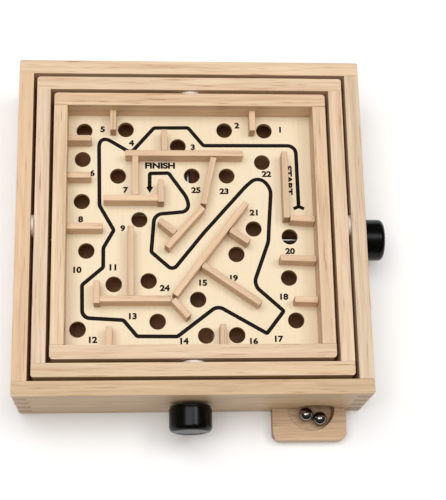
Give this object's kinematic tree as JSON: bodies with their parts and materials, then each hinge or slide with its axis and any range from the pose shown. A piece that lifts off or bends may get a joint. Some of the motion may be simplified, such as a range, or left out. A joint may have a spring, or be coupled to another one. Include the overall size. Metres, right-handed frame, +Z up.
{
  "type": "tilt maze game",
  "caption": "Wooden tilt maze: a box with two nested gimballed frames, a holed maze board, two knobs that tilt it by cords, and a ball outlet with steel balls.",
  "frame": {"origin": "centre of the base board's underside, on the surface the box stands on", "axes": "+X to the right, towards the side knob; +Y to the back, away from the front knob; +Z up"},
  "size_m": [0.2048, 0.2082, 0.0508],
  "materials": {
    "box_wood": "light pine, clear satin coat",
    "rail_wood": "light pine, clear satin coat",
    "wall_wood": "light pine strip, unfinished",
    "ply": "pale plywood, satin",
    "knob_plastic": "black, glossy",
    "steel": "drawn wire",
    "ball_steel": "polished",
    "washer_plastic": "translucent natural nylon",
    "cord": "braided thread"
  },
  "bodies": {
    "box": {"back_panel": "box_wood", "ball_plate": "box_wood", "base_board": "ply", "floor_battens": "box_wood", "front_panel": "box_wood", "gimbal_pivot_pins": "steel", "gimbal_pivot_washers": "washer_plastic", "left_panel": "box_wood", "right_panel": "box_wood", "sloping_floor": "ply"},
    "gimbal": {"gimbal_back_rail": "rail_wood", "gimbal_cord_hooks": "steel", "gimbal_cord_spring": "steel", "gimbal_drive_cord": "cord", "gimbal_front_rail": "rail_wood", "gimbal_left_rail": "rail_wood", "gimbal_right_rail": "rail_wood", "tray_pivot_pins": "steel", "tray_pivot_washers": "washer_plastic"},
    "tray": {"back_long_wall": "wall_wood", "back_short_wall": "wall_wood", "back_stub_walls": "wall_wood", "centre_branch_wall": "wall_wood", "centre_slanted_wall": "wall_wood", "centre_steep_wall": "wall_wood", "finish_front_wall": "wall_wood", "finish_left_wall": "wall_wood", "finish_right_wall": "wall_wood", "front_left_long_wall": "wall_wood", "front_left_short_wall": "wall_wood", "front_stub_walls": "wall_wood", "left_long_wall": "wall_wood", "left_stub_walls": "wall_wood", "maze_board": "ply", "right_stub_walls": "wall_wood", "slanted_back_branch_wall": "wall_wood", "slanted_foot_wall": "wall_wood", "slanted_front_branch_wall": "wall_wood", "slanted_long_wall": "wall_wood", "start_foot_wall": "wall_wood", "start_wall": "wall_wood", "tray_back_rail": "rail_wood", "tray_cord_hooks": "steel", "tray_cord_spring": "steel", "tray_drive_cord": "cord", "tray_front_rail": "rail_wood", "tray_left_rail": "rail_wood", "tray_right_rail": "rail_wood"},
    "front_knob_group": {"front_cord_turns": "cord", "front_knob": "knob_plastic", "front_shaft": "steel", "front_shaft_ring": "washer_plastic"},
    "side_knob_group": {"side_cord_turns": "cord", "side_knob": "knob_plastic", "side_shaft": "steel", "side_shaft_ring": "washer_plastic"},
    "left_ball_group": {"left_ball": "ball_steel"},
    "right_ball_group": {"right_ball": "ball_steel"}
  },
  "joints": [
    {"name": "gimbal_tilt", "type": "hinge", "parent": "box", "child": "gimbal", "pos_m": [0, 0, 0.0428], "axis": [1, 0, 0], "range_deg": [-4, 4]},
    {"name": "tray_tilt", "type": "hinge", "parent": "gimbal", "child": "tray", "pos_m": [0, 0, 0.0428], "axis": [0, 1, 0], "range_deg": [-4, 4]},
    {"name": "side_knob_turn", "type": "hinge", "parent": "box", "child": "side_knob_group", "pos_m": [0.09565, -0.0012, 0.021], "axis": [1, 0, 0], "range_deg": [-48, 48]},
    {"name": "front_knob_turn", "type": "hinge", "parent": "box", "child": "front_knob_group", "pos_m": [-0.0012, -0.09625, 0.025], "axis": [0, 1, 0], "range_deg": [-40, 40]},
    {"name": "left_ball_lift", "type": "slide", "parent": "box", "child": "left_ball_group", "axis": [0, -0.6, 0.8], "range_m": [0, 0.025]},
    {"name": "right_ball_lift", "type": "slide", "parent": "box", "child": "right_ball_group", "axis": [0, -0.6, 0.8], "range_m": [0, 0.025]}
  ],
  "couplings": [
    {"joint": "side_knob_turn", "follows": "gimbal_tilt", "ratio": 11.81},
    {"joint": "front_knob_turn", "follows": "tray_tilt", "ratio": 9.86}
  ]
}
